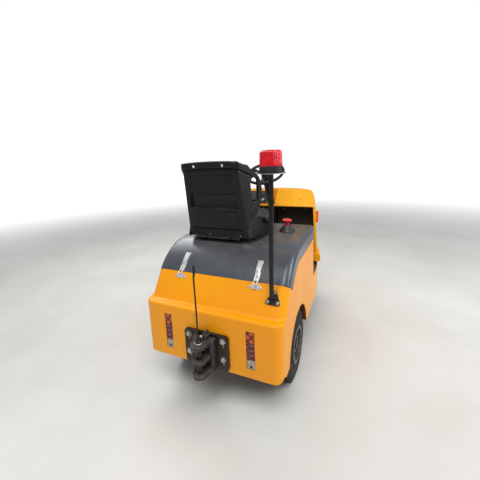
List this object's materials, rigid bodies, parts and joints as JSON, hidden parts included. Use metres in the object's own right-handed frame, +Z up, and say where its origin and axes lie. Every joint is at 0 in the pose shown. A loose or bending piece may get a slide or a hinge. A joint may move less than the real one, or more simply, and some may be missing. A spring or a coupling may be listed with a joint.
{
  "type": "electric tow tractor",
  "caption": "Small seated electric tow tractor: lidded battery hood under the driver's seat, rounded front cowl, steered front wheel, rear pin coupler and beacon on a pole.",
  "frame": {"origin": "on the floor under the middle of the machine, halfway between the coupler's nose and the tip of the front rim", "axes": "+X to the driver's right, +Y forward, +Z up"},
  "size_m": [0.9156, 1.877, 1.462],
  "materials": {
    "body_paint": "gloss orange paint, a little dulled",
    "moulding": "orange moulded plastic, satin to gloss",
    "arch_paint": "dark red-orange, dusty",
    "frame_paint": "black satin paint, dusty",
    "black_paint": "black satin paint",
    "battery_steel": "grey battery box",
    "mat": "black ribbed mat",
    "zinc_steel": "zinc plated",
    "latch_steel": "bright stainless steel",
    "coupler_iron": "brown-grey casting, worn",
    "pin_steel": "dark oiled steel",
    "black_plastic": "black moulded plastic",
    "grip_plastic": "black grained plastic",
    "hood_moulding": "dark grey, semi-gloss",
    "beacon_lens": "red ribbed lens",
    "lamp_lens": "amber, red and clear lens strips",
    "lamp_clear": "clear lens over a bright bowl",
    "marker_lens": "amber lens",
    "stop_red": "red knob",
    "pedal_rubber": "black ribbed pads",
    "seat_cover": "black vinyl cover",
    "seat_shell": "black grained plastic",
    "tyre": "worn black rubber",
    "rim_paint": "dark grey paint"
  },
  "bodies": {
    "chassis": {"chassis_frame": "frame_paint", "floor_plate": "frame_paint", "floor_mat": "mat", "rear_panel": "body_paint", "side_panel_right": "body_paint", "side_panel_left": "body_paint", "wheel_arch_right": "arch_paint", "wheel_arch_left": "arch_paint", "pedestal_panel": "body_paint", "battery": "battery_steel", "hinge_brackets": "zinc_steel", "latch_keepers": "zinc_steel", "coupler_plate": "black_paint", "coupler_casting": "coupler_iron", "beacon_pole": "black_paint", "beacon_base": "black_plastic", "beacon_dome": "beacon_lens", "tail_lamps": "lamp_lens", "rear_axle": "frame_paint", "front_skirt": "body_paint", "front_rim_moulding": "moulding", "cowl": "moulding", "toe_panel": "black_plastic", "steering_column": "black_plastic", "instrument": "black_plastic", "pedals": "pedal_rubber", "headlamps": "lamp_clear", "side_markers": "marker_lens"},
    "hood": {"hood": "hood_moulding", "hood_hinge": "zinc_steel", "hood_latches": "latch_steel", "stop_base": "black_plastic", "stop_button": "stop_red", "seat_frame": "black_paint", "seat_cushion": "seat_cover", "seat_back_shell": "seat_shell", "seat_back_pad": "seat_cover", "hip_guards": "seat_shell", "belt_reel": "black_plastic"},
    "rear_wheel_right": {"rear_tyre_right": "tyre", "rear_rim_right": "rim_paint"},
    "rear_wheel_left": {"rear_tyre_left": "tyre", "rear_rim_left": "rim_paint"},
    "steer": {"steer_fork": "frame_paint"},
    "front_wheel": {"front_tyre": "tyre", "front_wheel_rim": "rim_paint"},
    "steering_wheel": {"steering_wheel": "grip_plastic"},
    "tow_pin": {"tow_pin": "pin_steel"}
  },
  "joints": [
    {"name": "rear_wheel_right_spin", "type": "hinge", "parent": "chassis", "child": "rear_wheel_right", "pos_m": [0.362, -0.4015, 0.2325], "axis": [1, 0, 0], "continuous": true},
    {"name": "rear_wheel_left_spin", "type": "hinge", "parent": "chassis", "child": "rear_wheel_left", "pos_m": [-0.362, -0.4015, 0.2325], "axis": [1, 0, 0], "continuous": true},
    {"name": "front_steer", "type": "hinge", "parent": "chassis", "child": "steer", "pos_m": [0, 0.6635, 0.455], "axis": [0, 0, 1], "range_deg": [-75, 75]},
    {"name": "front_wheel_spin", "type": "hinge", "parent": "steer", "child": "front_wheel", "pos_m": [0, 0.6635, 0.2], "axis": [1, 0, 0], "continuous": true},
    {"name": "steering_wheel_turn", "type": "hinge", "parent": "chassis", "child": "steering_wheel", "pos_m": [0, 0.2935, 1.3], "axis": [0, -0.5, 0.866], "range_deg": [-450, 450]},
    {"name": "hood_hinge", "type": "hinge", "parent": "chassis", "child": "hood", "pos_m": [0, 0.1525, 0.79], "axis": [-1, 0, 0], "range_deg": [0, 42]},
    {"name": "tow_pin_lift", "type": "slide", "parent": "chassis", "child": "tow_pin", "axis": [0, 0, 1], "range_m": [0, 0.18]}
  ],
  "couplings": [
    {"joint": "steering_wheel_turn", "follows": "front_steer", "ratio": 6}
  ]
}
